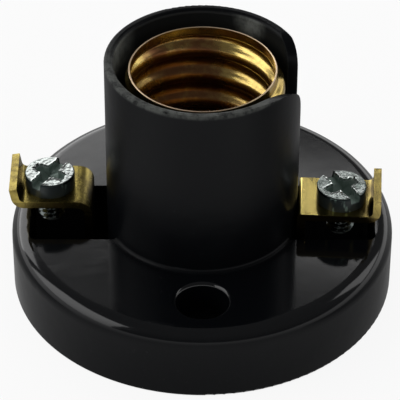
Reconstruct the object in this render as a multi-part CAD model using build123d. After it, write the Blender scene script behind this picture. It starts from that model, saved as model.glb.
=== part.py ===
"""Small Edison screw lamp holder for surface mounting: a black moulded body with a round base and a
tube, a rolled brass screw shell and a springy centre contact riveted inside the tube, and two brass
terminals that come up beside the tube, each with a screw for a wire.

Millimetres, +Z up. The origin is on the mounting surface, on the axis of the base and the tube.
"""

from build123d import *
from math import asin, cos, degrees, radians, sin, sqrt
import os

# Moulded body: the round base
base_flange = 8.78
base_height = 6.9
base_edge_fillet = 1.6
base_foot_fillet = 0.3
top_plate = 3.1
skirt_wall = 2.2
hollow_fillet = 0.5

# Moulded body: the tube, its floor and the ledge that the screw shell stands on
tube_radius = 8.72
tube_wall = 0.87
tube_top = 24.0
tube_rim_outer_fillet = 0.2
tube_rim_inner_fillet = 0.4
tube_root_fillet = 0.4
floor_underside = 2.4
floor_thickness = 2.0
ledge_height = 2.0
ledge_width = 1.95
hub_edge_fillet = 0.5

# Moulded body: the notch in the tube's rim, beside the right terminal
notch_flank_y = -0.2
notch_shoulder = 7.4
notch_width = 2.3
notch_rear_corner = 2.4
notch_bottom_corner = 0.9

# Moulded body: the fixing holes, front and rear, and the openings for the terminals, left and right
fixing_from_tube = 3.78
fixing_hole_radius = 2.3
fixing_rim_fillet = 0.45
boss_wall = 1.6
opening_half_width = 4.0
opening_corner = 0.7
opening_wall = 1.2

# Screw shell: rolled sheet with the small Edison thread, which comes out 14 mm inside its turns
shell_sheet = 0.3
thread_pitch = 2.822
thread_arc = 0.822
shell_rim_depth = 0.95
shell_rim_inset = 0.4
shell_rim_height = 0.9
shell_rim_flare = 0.2
thread_overrun = 0.66
thread_bottom_above_ledge = 1.9
thread_end_angle = 330.0
land_height = 0.02
land_angle = 9.85
shell_tab_width = 4.0
shell_tab_end = 1.9

# Centre contact: a springy strip from its rivet up to the axis
contact_sheet = 0.4
contact_width = 3.0
contact_rise = 2.9
contact_foot = 1.9
contact_tail = 1.5
contact_crown = 3.4
contact_tip = 1.2
contact_bend = 0.6
contact_end_flat = 0.4
contact_dimple_radius = 1.6
contact_dimple_height = 0.3

# Terminals: bent strips, each from its rivet under the floor, up beside the tube and out to an upturned lip
strip_sheet = 0.7
strip_width = 5.5
strip_top = 9.33
strip_length = 7.5
lip_height = 1.4
lip_bend = 0.5
leg_bend = 0.75
coined_bend = 0.05
coined_corner = 0.3
foot_bend = 0.45
foot_reach = 5.9
foot_end = 1.6
foot_end_flat = 1.2
screw_from_leg = 3.9
left_lip_lean = 10.0
right_lip_lean = 0.0

# Places of the terminals: how far each leg stands off the tube, and how far it is turned on its rivet
left_leg_gap = 1.31
left_rivet_y = 1.1
left_terminal_turn = 180.0
right_leg_gap = 0.05
right_rivet_y = -0.2
right_terminal_turn = -3.8

# Rivets
rivet_shank_radius = 0.9
rivet_head_radius = 1.45
rivet_head_height = 0.6

# Terminal screws
screw_shank_radius = 1.3
screw_length = 3.5
screw_point_chamfer = 0.3
screw_head_radius = 2.27
screw_head_height = 1.5
screw_head_fillet = 0.12
screw_slot_width = 0.88
screw_slot_depth = 0.65
recess_reach = 1.5
recess_wing_width = 0.85
recess_depth = 1.1
left_slot_angle = 57.0
right_slot_angle = 122.0

# Clearances, and how far a cutting block goes past what it cuts
shank_clearance = 0.05
seat_clearance = 0.3
turns_clearance = 0.55
screw_end_clearance = 0.52
cut_margin = 1.0

# Sizes that follow: the base and the tube
base_radius = tube_radius + base_flange
tube_bore_radius = tube_radius - tube_wall
tube_wall_middle = tube_radius - tube_wall / 2
skirt_middle = base_radius - skirt_wall / 2
plate_middle = base_height - top_plate / 2
floor_top = floor_underside + floor_thickness
ledge_top = floor_top + ledge_height
ledge_bore_radius = tube_bore_radius - ledge_width
boss_radius = fixing_hole_radius + boss_wall
fixing_spacing = 2 * (tube_radius + fixing_from_tube)

# Sizes that follow: the shell
shell_top = tube_top - shell_rim_depth
thread_slope = asin(thread_pitch / (4 * thread_arc))
thread_depth = 2 * thread_arc * (1 - cos(thread_slope))
thread_radius = tube_bore_radius - turns_clearance - shell_sheet
ridge_radius = thread_radius - thread_depth
shell_rim_radius = thread_radius - shell_rim_inset
shell_bore_radius = ridge_radius + land_height
shell_wall_radius = ridge_radius + shell_sheet + land_height

# Sizes that follow: the terminals
foot_top = floor_underside
foot_underside = foot_top - strip_sheet
left_rivet_x = foot_reach - tube_radius - left_leg_gap
right_rivet_x = tube_radius + right_leg_gap - foot_reach
left_screw_reach = tube_radius + left_leg_gap + screw_from_leg
opening_reach = left_screw_reach + screw_shank_radius + screw_end_clearance


def base_section():
    """Half section of the round base and its hollow, from inside the tube's wall outwards."""
    hollow_top = base_height - top_plate
    hollow_width = base_radius - skirt_wall
    section = Pos(base_radius / 2, base_height / 2) * Rectangle(base_radius, base_height)
    section -= Pos(hollow_width / 2, hollow_top / 2) * Rectangle(hollow_width, hollow_top)
    section -= Pos(tube_wall_middle / 2, base_height / 2) * Rectangle(tube_wall_middle, base_height)
    section = round_corner(section, base_radius, base_height, base_edge_fillet)
    section = round_corner(section, base_radius, 0, base_foot_fillet)
    return round_corner(section, hollow_width, hollow_top, hollow_fillet)


def tube_section():
    """Half section of the tube with its floor and the ledge, to the right of the axis."""
    section = Pos(tube_radius / 2, (tube_top + floor_underside) / 2) * Rectangle(
        tube_radius, tube_top - floor_underside)
    section -= Pos(tube_bore_radius / 2, (tube_top + ledge_top) / 2) * Rectangle(
        tube_bore_radius, tube_top - ledge_top)
    section -= Pos(ledge_bore_radius / 2, (floor_top + ledge_top) / 2) * Rectangle(
        ledge_bore_radius, ledge_height)
    section = round_corner(section, tube_radius, tube_top, tube_rim_outer_fillet)
    section = round_corner(section, tube_bore_radius, tube_top, tube_rim_inner_fillet)
    return round_corner(section, tube_radius, floor_underside, hub_edge_fillet)


def round_corner(section, x, y, radius):
    """The flat section with its one corner at x, y rounded."""
    corner = section.vertices().sort_by_distance((x, y, 0))[0]
    return fillet(corner, radius)


def notch_cutter():
    """The prism that cuts the rim: a long round shoulder in front, a short one behind, and a slot between."""
    front_y = notch_flank_y
    rear_y = notch_flank_y + notch_width
    shoulder_y = front_y - notch_shoulder
    shoulder_z = tube_top - notch_shoulder
    rear_corner_y = rear_y + notch_rear_corner
    rear_corner_z = tube_top - notch_rear_corner
    corner_z = shoulder_z
    slot_bottom = corner_z - notch_bottom_corner
    above = tube_top + cut_margin
    outline = [
        CenterArc((shoulder_y, shoulder_z), notch_shoulder, 90, -90),
        CenterArc((front_y + notch_bottom_corner, corner_z), notch_bottom_corner, 180, 90),
        Line((front_y + notch_bottom_corner, slot_bottom), (rear_y - notch_bottom_corner, slot_bottom)),
        CenterArc((rear_y - notch_bottom_corner, corner_z), notch_bottom_corner, 270, 90),
        Line((rear_y, corner_z), (rear_y, rear_corner_z)),
        CenterArc((rear_corner_y, rear_corner_z), notch_rear_corner, 180, -90),
        Line((rear_corner_y, tube_top), (rear_corner_y, above)),
        Line((rear_corner_y, above), (shoulder_y, above)),
        Line((shoulder_y, above), (shoulder_y, tube_top)),
    ]
    profile = make_face(outline)
    return extrude(Plane.YZ * profile, tube_radius + cut_margin)


def terminal_openings():
    """The block that opens the base on both sides of the tube, open from below, for the two terminals."""
    height = base_height + 2 * cut_margin
    block = Pos(0, 0, base_height / 2) * Box(2 * opening_reach, 2 * opening_half_width, height)
    return fillet(block.edges().filter_by(Axis.Z), opening_corner)


def opening_walls():
    """Walls in the base's hollow, in front of and behind the openings, down to the mounting surface."""
    wall = Pos(0, opening_half_width + opening_wall / 2, plate_middle / 2) * Box(
        2 * base_radius, opening_wall, plate_middle)
    tube_room = Cylinder(tube_wall_middle, 4 * base_height)
    return ((wall + mirror(wall, Plane.XZ)) & inside_skirt()) - tube_room


def inside_skirt():
    """A round block that reaches from the axis to the middle of the base's skirt."""
    return Cylinder(skirt_middle, 4 * base_height)


def fixing_hole_cutter():
    """The space of a fixing hole, flared at the top so that the hole's rim comes out rounded."""
    mouth = fixing_hole_radius + fixing_rim_fillet
    flare_start = base_height - fixing_rim_fillet
    flare_step = fixing_rim_fillet * sin(radians(45))
    flare_middle = (mouth - flare_step, flare_start + flare_step)
    below = -cut_margin
    above = base_height + cut_margin
    outline = [
        Line((0, below), (fixing_hole_radius, below)),
        Line((fixing_hole_radius, below), (fixing_hole_radius, flare_start)),
        ThreePointArc((fixing_hole_radius, flare_start), flare_middle, (mouth, base_height)),
        Line((mouth, base_height), (mouth, above)),
        Line((mouth, above), (0, above)),
        Line((0, above), (0, below)),
    ]
    return revolve(Plane.XZ * make_face(outline), Axis.Z)


def moulded_body():
    """The one-piece moulding."""
    body = revolve(Plane.XZ * base_section(), Axis.Z)
    for y in (-fixing_spacing / 2, fixing_spacing / 2):
        boss = Pos(0, y, plate_middle / 2) * Cylinder(boss_radius, plate_middle)
        body += boss & inside_skirt()
    body += opening_walls()
    body -= terminal_openings()
    body += revolve(Plane.XZ * tube_section(), Axis.Z)
    root = body.edges().filter_by(GeomType.CIRCLE).filter_by(
        lambda edge: abs(edge.radius - tube_radius) < 0.001 and abs(edge.center().Z - base_height) < 0.001)
    body = fillet(root, tube_root_fillet)
    for y in (-fixing_spacing / 2, fixing_spacing / 2):
        body -= Pos(0, y) * fixing_hole_cutter()
    body -= notch_cutter()
    tab_slot_width = shell_tab_width + 2 * seat_clearance
    tab_slot_reach = shell_wall_radius + seat_clearance
    body -= Pos(tab_slot_reach / 2, 0, floor_top + ledge_height / 2) * Box(
        tab_slot_reach, tab_slot_width, ledge_height)
    hole_radius = rivet_shank_radius + shank_clearance
    for x, y in ((left_rivet_x, left_rivet_y), (right_rivet_x, right_rivet_y)):
        body -= Pos(x, y, floor_underside + floor_thickness / 2) * Cylinder(
            hole_radius, floor_thickness + cut_margin)
    return body


def thread_profile(offset):
    """Section of one turn, bulging outwards from the plain wall.

    Two kinds of equal arcs make the Edison profile. offset is 0 on the inside of the sheet, and the
    sheet's thickness on the outside, which widens the crest's arc and narrows the root's.
    """
    crest_arc = thread_arc + offset
    root_arc = thread_arc - offset
    crest_centre = thread_radius - thread_arc
    root_centre = ridge_radius + thread_arc
    join_x = crest_centre + crest_arc * cos(thread_slope)
    join_z = crest_arc * sin(thread_slope)
    foot_angle = radians(land_angle)
    middle_angle = (thread_slope + foot_angle) / 2
    foot_x = root_centre - root_arc * cos(foot_angle)
    foot_z = thread_pitch / 2 - root_arc * sin(foot_angle)
    middle_x = root_centre - root_arc * cos(middle_angle)
    middle_z = thread_pitch / 2 - root_arc * sin(middle_angle)
    inside_x = foot_x - shell_sheet / 2
    outline = [
        Line((inside_x, -foot_z), (foot_x, -foot_z)),
        ThreePointArc((foot_x, -foot_z), (middle_x, -middle_z), (join_x, -join_z)),
        ThreePointArc((join_x, -join_z), (crest_centre + crest_arc, 0), (join_x, join_z)),
        ThreePointArc((join_x, join_z), (middle_x, middle_z), (foot_x, foot_z)),
        Line((foot_x, foot_z), (inside_x, foot_z)),
        Line((inside_x, foot_z), (inside_x, -foot_z)),
    ]
    return make_face(outline)


def thread_sweep(offset):
    """The profile carried up the right-hand helix, from above the ledge to past the rim."""
    bottom = ledge_top + thread_bottom_above_ledge
    height = shell_top + thread_overrun - bottom
    path = Helix(thread_pitch, height, thread_radius)
    end_angle = 360 * height / thread_pitch
    turns = sweep(Plane.XZ * thread_profile(offset), path, is_frenet=True)
    return Pos(0, 0, bottom) * Rot(0, 0, thread_end_angle - end_angle) * turns


def shell_core(wall_radius, rim_radius):
    """The shell's plain form filled solid: a cylinder that flares to the rim's collar."""
    collar_bottom = shell_top - shell_rim_height
    flare_bottom = collar_bottom - shell_rim_flare
    outline = Polyline(
        (0, ledge_top), (wall_radius, ledge_top), (wall_radius, flare_bottom),
        (rim_radius, collar_bottom), (rim_radius, shell_top), (0, shell_top), close=True)
    return revolve(Plane.XZ * make_face(outline), Axis.Z)


def screw_shell():
    """The rolled shell, with the tab at its foot that is riveted to the floor."""
    outer_turns = thread_sweep(shell_sheet) & turns_room(shell_top - shell_rim_height)
    inner_turns = thread_sweep(0) & turns_room(shell_top - shell_rim_height - shell_sheet)
    outside = shell_core(shell_wall_radius, shell_rim_radius) + outer_turns
    inside = shell_core(shell_bore_radius, shell_rim_radius - shell_sheet) + inner_turns
    return outside - inside + shell_tab()


def turns_room(level):
    """A round block wider than the turns, from the ledge up to a level."""
    return Pos(0, 0, (ledge_top + level) / 2) * Cylinder(tube_bore_radius, level - ledge_top)


def shell_tab():
    """The tab that goes on down from the shell's wall and turns in along the floor."""
    depth = ledge_top - floor_top
    reach = shell_wall_radius
    band = Pos(reach / 2, 0, floor_top + depth / 2) * Box(reach, shell_tab_width, depth)
    leg = band & (Pos(0, 0, floor_top + depth / 2) * (
        Cylinder(shell_wall_radius, depth) - Cylinder(shell_bore_radius, depth)))
    sole = Pos(0, 0, floor_top + shell_sheet / 2) * (
        Cylinder(shell_wall_radius, shell_sheet)
        & (Pos((reach + shell_tab_end) / 2, 0) * Box(reach - shell_tab_end, shell_tab_width, shell_sheet)))
    hole = Pos(right_rivet_x, right_rivet_y, floor_top) * Cylinder(
        rivet_shank_radius + shank_clearance, 4 * shell_sheet)
    return leg + sole - hole


def bent_strip(points, bends, sheet, width):
    """A strip of sheet that follows the corner points in the XZ plane, each corner bent on its radius."""
    line = FilletPolyline(*[(x, z) for x, z in points], radius=[bend + sheet / 2 for bend in bends])
    section = trace(line, sheet)
    return extrude(Plane.XZ * section, width / 2, both=True)


def centre_contact():
    """The springy contact: a flat foot under its rivet, a rise, a crown over the axis and a bent-down tip."""
    level = floor_top + contact_sheet / 2
    crown_level = level + contact_rise
    rivet_to_axis = sqrt(left_rivet_x ** 2 + left_rivet_y ** 2)
    crown_start = rivet_to_axis - contact_crown / 2
    crown_end = rivet_to_axis + contact_crown / 2
    points = [
        (-contact_tail, level),
        (contact_foot, level),
        (crown_start, crown_level),
        (crown_end, crown_level),
        (crown_end + contact_tip / 2, crown_level - contact_tip),
    ]
    strip = bent_strip(points, [contact_bend] * 3, contact_sheet, contact_width)
    end_edges = strip.edges().filter_by(Axis.Z).group_by(Axis.X)[0]
    strip = fillet(end_edges, (contact_width - contact_end_flat) / 2)
    crown_top = crown_level + contact_sheet / 2
    ball_radius = (contact_dimple_radius ** 2 + contact_dimple_height ** 2) / (2 * contact_dimple_height)
    ball = Pos(rivet_to_axis, 0, crown_top + contact_dimple_height - ball_radius) * Sphere(ball_radius)
    cap = ball & (Pos(rivet_to_axis, 0, crown_top) * Cylinder(
        contact_dimple_radius, 2 * contact_dimple_height))
    cap = cap & (Pos(rivet_to_axis, 0, crown_top + contact_dimple_height / 2 - contact_sheet / 4) * Box(
        4 * contact_dimple_radius, contact_width, contact_dimple_height + contact_sheet / 2))
    strip += cap
    strip -= Pos(0, 0, level) * Cylinder(rivet_shank_radius + shank_clearance, 2 * contact_sheet)
    aim = degrees(asin(left_rivet_y / rivet_to_axis))
    return Pos(left_rivet_x, left_rivet_y) * Rot(0, 0, -aim) * strip


def terminal(rivet_x, rivet_y, turn, lean, coined):
    """A bent terminal strip. It is drawn with its rivet hole on the axis and its lip to the right.

    lean turns the lip outwards. A coined strip has its leg's bend pressed to a sharp corner.
    """
    foot_level = foot_top - strip_sheet / 2
    flat_level = strip_top - strip_sheet / 2
    leg_x = foot_reach + strip_sheet / 2
    lip_x = foot_reach + strip_length - strip_sheet / 2
    lip_rise = strip_top + lip_height - flat_level
    lip_out = lip_rise * sin(radians(lean))
    points = [
        (-foot_end, foot_level),
        (leg_x, foot_level),
        (leg_x, flat_level),
        (lip_x - lip_out, flat_level),
        (lip_x, flat_level + lip_rise * cos(radians(lean))),
    ]
    upper_bend = coined_bend if coined else leg_bend
    strip = bent_strip(points, [foot_bend, upper_bend, lip_bend], strip_sheet, strip_width)
    end_edges = strip.edges().filter_by(Axis.Z).group_by(Axis.X)[0]
    strip = fillet(end_edges, (strip_width - foot_end_flat) / 2)
    if coined:
        strip += coined_bend_corner()
    screw_x = foot_reach + screw_from_leg
    strip -= Pos(screw_x, 0, flat_level) * Cylinder(screw_shank_radius + shank_clearance, 2 * strip_sheet)
    strip -= Pos(0, 0, foot_level) * Cylinder(rivet_shank_radius + shank_clearance, 2 * strip_sheet)
    return Pos(rivet_x, rivet_y) * Rot(0, 0, turn) * strip


def coined_bend_corner():
    """The metal pressed into the outer corner of a leg's bend."""
    block = Pos(foot_reach + strip_sheet / 2, 0, strip_top - strip_sheet / 2) * Box(
        strip_sheet, strip_width, strip_sheet)
    corner = block.edges().filter_by(Axis.Y).sort_by(lambda edge: edge.center().X - edge.center().Z)[0]
    return fillet(corner, coined_corner)


def screw_place(rivet_x, rivet_y, turn):
    """Where a terminal's screw stands, from its rivet and its turn."""
    reach = foot_reach + screw_from_leg
    return rivet_x + reach * cos(radians(turn)), rivet_y + reach * sin(radians(turn))


def terminal_screw(place, slot_angle):
    """A cheese-head screw with a slot and a cross recess, its head down on the strip."""
    head = Pos(0, 0, screw_head_height / 2) * Cylinder(screw_head_radius, screw_head_height)
    head = fillet(head.edges().group_by(Axis.Z)[-1], screw_head_fillet)
    shank = Pos(0, 0, -screw_length / 2) * Cylinder(screw_shank_radius, screw_length)
    shank = chamfer(shank.edges().group_by(Axis.Z)[0], screw_point_chamfer)
    slot = Pos(0, 0, screw_head_height - screw_slot_depth / 2) * Box(
        3 * screw_head_radius, screw_slot_width, screw_slot_depth)
    screw = head + shank - slot - cross_recess()
    return Pos(place[0], place[1], strip_top) * Rot(0, 0, slot_angle) * screw


def cross_recess():
    """Four wings that narrow downwards to a point, cut from the top of the head."""
    outline = [(0, 0), (recess_reach, 0), (recess_reach / 3, -recess_depth), (0, -recess_depth)]
    half = make_face(Polyline(*outline, close=True))
    wing = extrude(Plane.XZ * half, recess_wing_width / 2, both=True)
    wings = wing + Rot(0, 0, 90) * wing + Rot(0, 0, 180) * wing + Rot(0, 0, 270) * wing
    return Pos(0, 0, screw_head_height) * wings


def rivet(x, y, upper_sheet):
    """A rivet through a terminal's foot, the moulded floor and the sheet on top of it."""
    low = foot_underside
    high = floor_top + upper_sheet
    shank = Pos(0, 0, (low + high) / 2) * Cylinder(rivet_shank_radius, high - low)
    dome_radius = (rivet_head_radius ** 2 + rivet_head_height ** 2) / (2 * rivet_head_height)
    ball = Pos(0, 0, rivet_head_height - dome_radius) * Sphere(dome_radius)
    dome = ball & (Pos(0, 0, rivet_head_height / 2) * Cylinder(rivet_head_radius, rivet_head_height))
    whole = shank + Pos(0, 0, high) * dome + Pos(0, 0, low) * Rot(180, 0, 0) * dome
    return Pos(x, y) * whole


def build():
    """Every sub-part by its node's name."""
    left = (left_rivet_x, left_rivet_y, left_terminal_turn)
    right = (right_rivet_x, right_rivet_y, right_terminal_turn)
    return {
        "moulded_body": moulded_body(),
        "screw_shell": screw_shell(),
        "centre_contact": centre_contact(),
        "terminal_left": terminal(*left, left_lip_lean, coined=False),
        "terminal_right": terminal(*right, right_lip_lean, coined=True),
        "screw_left": terminal_screw(screw_place(*left), left_slot_angle),
        "screw_right": terminal_screw(screw_place(*right), right_slot_angle),
        "rivet_contact": rivet(left_rivet_x, left_rivet_y, contact_sheet),
        "rivet_shell": rivet(right_rivet_x, right_rivet_y, shell_sheet),
    }


os.makedirs("parts", exist_ok=True)
for name, shape in build().items():
    shape.label = name
    export_step(shape, f"parts/{name}.step")
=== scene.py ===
"""Looks for a small screw-shell lamp holder: black moulding, rolled brass shell, brass terminals.

Each operator dresses one kind of piece, and the panel lists them. All lengths are in metres, in the
part's own frame: +Z up, the origin on the mounting surface under the middle of the base.
"""

from math import asin, cos, hypot, pi, radians, sin, sqrt, tan

import bmesh
import bpy
from mathutils import Matrix, Vector, noise as smooth_noise


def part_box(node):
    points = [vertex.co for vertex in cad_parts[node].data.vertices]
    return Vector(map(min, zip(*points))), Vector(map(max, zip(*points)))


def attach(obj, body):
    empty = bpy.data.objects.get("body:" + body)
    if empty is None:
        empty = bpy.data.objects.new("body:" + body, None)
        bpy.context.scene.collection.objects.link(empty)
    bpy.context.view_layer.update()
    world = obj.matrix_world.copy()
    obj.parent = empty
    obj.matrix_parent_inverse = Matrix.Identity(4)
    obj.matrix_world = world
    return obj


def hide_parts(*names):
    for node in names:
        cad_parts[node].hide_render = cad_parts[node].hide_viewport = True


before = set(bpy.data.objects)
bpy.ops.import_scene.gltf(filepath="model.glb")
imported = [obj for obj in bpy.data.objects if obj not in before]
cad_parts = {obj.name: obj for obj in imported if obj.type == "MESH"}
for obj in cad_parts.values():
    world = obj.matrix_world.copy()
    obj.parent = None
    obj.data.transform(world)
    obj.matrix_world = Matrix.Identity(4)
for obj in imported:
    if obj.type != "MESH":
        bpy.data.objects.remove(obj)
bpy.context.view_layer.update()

bl_info = {
    "name": "Lamp holder looks",
    "version": (1, 0, 0),
    "blender": (4, 5, 0),
    "location": "View3D > Sidebar > Lamp holder",
    "description": "Materials, screws and stage for a screw-shell lamp holder",
    "category": "Object",
}

MM = 0.001
SHELL_LOW, SHELL_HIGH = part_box("screw_shell")
HOLDER_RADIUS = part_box("moulded_body")[1].x

# The camera of the photograph, fitted to the outlines of the base and the tube
CAMERA_EYE = Vector((-0.70, -180.60, 149.02)) * MM
CAMERA_AIM = Vector((-0.20, 3.98, 5.23)) * MM
CAMERA_ROLL = radians(0.20)
CAMERA_LENS = 225.0
CAMERA_SENSOR = 36.0
CAMERA_CLIP = (0.01, 20.0)

# The soft boxes, which stand upright and face the holder. Azimuth 0 is behind it and grows to the
# right. Width and edges are angles seen from the holder, in degrees.
SOFTBOXES = (
    # name, azimuth, distance, width, lower edge, upper edge, strength
    ("back left softbox", -29, 0.9, 55, 12.5, 41.0, 1.75),
    ("left softbox", -98, 0.8, 62, 20, 54, 1.75),
    ("back right softbox", 12, 0.9, 22, 37.6, 39.7, 2.1),
    ("right softbox", 66, 0.8, 24, 22, 50, 1.3),
)

# The floor: how far it lies below the base, how far around the base its mirror image carries
# painted shade, the shares of the base's radius between which the shadow under the base ends, and
# its grain's colour
FLOOR_DROP = 0.02 * MM
FLOOR_SHADE_REACH = 11 * MM
FLOOR_HIDDEN = (0.93, 0.99)
FLOOR_GRAIN = (0.7, 0.7, 0.71)

# The moulding. A pair of levels or radii holds the two ends of a soft change.
BASE_TOP = 7.4 * MM
BASE_EDGE = (5.8 * MM, 6.6 * MM)
TUBE_FOOT = (9.0 * MM, 9.9 * MM)
TUBE_BORE = 7.85 * MM
TUBE_RIM = 24.0 * MM
# The places along Y between which the rim's painted highlight grows towards the front, the bore's
# painted highlight smears, each a point in millimetres and how far it reaches, and the colour of
# dust
RIM_HIGHLIGHT_SPAN = (4.0 * MM, -3.0 * MM)
BORE_HIGHLIGHTS = (((-7.6, 1.6, 22.9), 4.6), ((4.3, 6.6, 23.3), 2.3))
DUST = (0.03, 0.03, 0.032)

# The shell: its foot on the ledge, a crest's height at the right, where its turns fade in and out,
# and where the sheet bends over into the rim
SHELL_FOOT = 6.4 * MM
CREST_AT_RIGHT = 21.12 * MM
TURNS_START = (7.2 * MM, 8.7 * MM)
TURNS_END = (22.3 * MM, 23.6 * MM)
RIM_BLEND = (21.6 * MM, 22.3 * MM)
SHELL_TURN_STEPS = 216
SHELL_RISE_STEPS = 168
# Its brass is clean at the right, and at the left above the lower turns; elsewhere its tarnish is
# laid out as painted shade
CLEAN_RIGHT = (3.5 * MM, 0.5 * MM)
CLEAN_LEFT = (-6.0 * MM, -4.4 * MM)
CLEAN_ABOVE = (21.0 * MM, 20.0 * MM)

# The shell's tab: its half width, its inner end, the rivet's hole in it, and the steps of its faces
TAB_HALF_WIDTH = 2.0 * MM
TAB_END = 1.9 * MM
TAB_HOLE = Vector((2.87, -0.2)) * MM
TAB_HOLE_RADIUS = 0.95 * MM
TAB_LEG_STEPS = 8
TAB_HOLE_STEPS = 48
# A direction with less than this along an axis never meets the tab's side there
LEVEL_TURN = 1e-6

# The terminal strips: the top of their flats, the levels between which painted shade darkens their
# legs, its colour, and the painted shade at the right one's bend: each a point in millimetres and
# how far it reaches
STRIP_TOP = 9.33 * MM
STRIP_SHADE_LEVELS = (8.5 * MM, 7.6 * MM)
LEG_SHADE = (0.012, 0.009, 0.005)
RIGHT_BEND_SHADE = (((15.3, -2.6, 9.3), 3.8), ((15.3, 0.2, 9.3), 3.2))

# The terminal screws. Driving has torn the edges of the slot and the recess by TEAR, and GRAIN
# roughens the head's top. A line of points shorter than LINE_LEAST is one point.
SCREWS = (
    # side, direction of the slot in degrees, film on the plating, seed of the tears
    ("left", 57, 0.08, 4),
    ("right", 122, 0.26, 5),
)
HEAD_STEPS = 130
LINE_LEAST = 1e-7
TEAR = 0.13 * MM
GRAIN = 0.008 * MM
SEAT_CHAMFER = 0.05 * MM
# Their thread: rows in a turn, the depths between which it starts, and how much its end tapers
# over which length
THREAD_ROWS = 12
THREAD_START = (0.25 * MM, 0.5 * MM)
THREAD_TAPER = 0.35 * MM
THREAD_END = 0.45 * MM


class LampHolderFinish(bpy.types.PropertyGroup):
    """Colours and finishes of the holder's materials."""

    moulding_colour: bpy.props.FloatVectorProperty(
        name="Moulding", description="Colour of the black phenolic",
        subtype="COLOR", size=3, min=0, max=1, default=(0.0022, 0.0026, 0.0034))
    moulding_roughness: bpy.props.FloatProperty(
        name="Moulding roughness", description="How soft the moulding's reflections are",
        subtype="FACTOR", min=0, max=1, default=0.13)
    moulding_gloss: bpy.props.FloatProperty(
        name="Moulding gloss", description="How strongly the moulding reflects head-on",
        subtype="FACTOR", min=0, max=1, default=0.09)
    tube_dullness: bpy.props.FloatProperty(
        name="Tube dullness", description="Roughness that the tube has over the base",
        subtype="FACTOR", min=0, max=1, default=0.20)
    # This colour serves the bore's scuffed haze, and also paints the highlights on the rim's front
    # and in the bore.
    scuff_colour: bpy.props.FloatVectorProperty(
        name="Scuffs", description="Colour of the scuffed phenolic in the bore and on the rim",
        subtype="COLOR", size=3, min=0, max=1, default=(0.17, 0.178, 0.165))
    shell_colour: bpy.props.FloatVectorProperty(
        name="Shell brass", description="Colour of the shell's clean brass",
        subtype="COLOR", size=3, min=0, max=1, default=(0.80, 0.60, 0.19))
    # This colour paints a highlight along the shell's rim edge.
    shell_rim_brass: bpy.props.FloatVectorProperty(
        name="Shell rim", description="Colour of the bare metal on the shell's rim",
        subtype="COLOR", size=3, min=0, max=1, default=(0.80, 0.62, 0.44))
    # This colour is the shell's tarnish, and also painted shade deep in the shell.
    shell_tarnish: bpy.props.FloatVectorProperty(
        name="Shell tarnish", description="Colour of the shell's red-brown tarnish",
        subtype="COLOR", size=3, min=0, max=1, default=(0.22, 0.10, 0.045))
    left_brass: bpy.props.FloatVectorProperty(
        name="Left terminal", description="Colour of the aged strip at the left",
        subtype="COLOR", size=3, min=0, max=1, default=(0.53, 0.42, 0.11))
    right_brass: bpy.props.FloatVectorProperty(
        name="Right terminal", description="Colour of the bright strip at the right",
        subtype="COLOR", size=3, min=0, max=1, default=(0.82, 0.65, 0.21))
    # This colour is the brass's film, and also painted shade on the strips' cut edges and at the
    # right one's bend.
    old_brass: bpy.props.FloatVectorProperty(
        name="Brass patina", description="Colour of the dull film on the strips' edges",
        subtype="COLOR", size=3, min=0, max=1, default=(0.075, 0.05, 0.02))
    contact_brass: bpy.props.FloatVectorProperty(
        name="Contact", description="Colour of the centre contact and the rivets",
        subtype="COLOR", size=3, min=0, max=1, default=(0.66, 0.50, 0.24))
    zinc: bpy.props.FloatVectorProperty(
        name="Screw plating", description="Colour of the screws' zinc",
        subtype="COLOR", size=3, min=0, max=1, default=(0.54, 0.58, 0.56))
    # This colour is the plating's film in patches, and also painted shade down in the recess.
    zinc_shade: bpy.props.FloatVectorProperty(
        name="Screw recess", description="Colour of the dull film down in the recess",
        subtype="COLOR", size=3, min=0, max=1, default=(0.11, 0.16, 0.135))
    # This colour is a dark film, and also painted shade on the head's side and the shank.
    zinc_side: bpy.props.FloatVectorProperty(
        name="Screw side", description="Colour of the dark film around the screws' heads",
        subtype="COLOR", size=3, min=0, max=1, default=(0.022, 0.029, 0.029))
    zinc_burr: bpy.props.FloatVectorProperty(
        name="Screw burr", description="Colour of the bare metal that driving has torn up",
        subtype="COLOR", size=3, min=0, max=1, default=(0.86, 0.90, 0.88))


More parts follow.
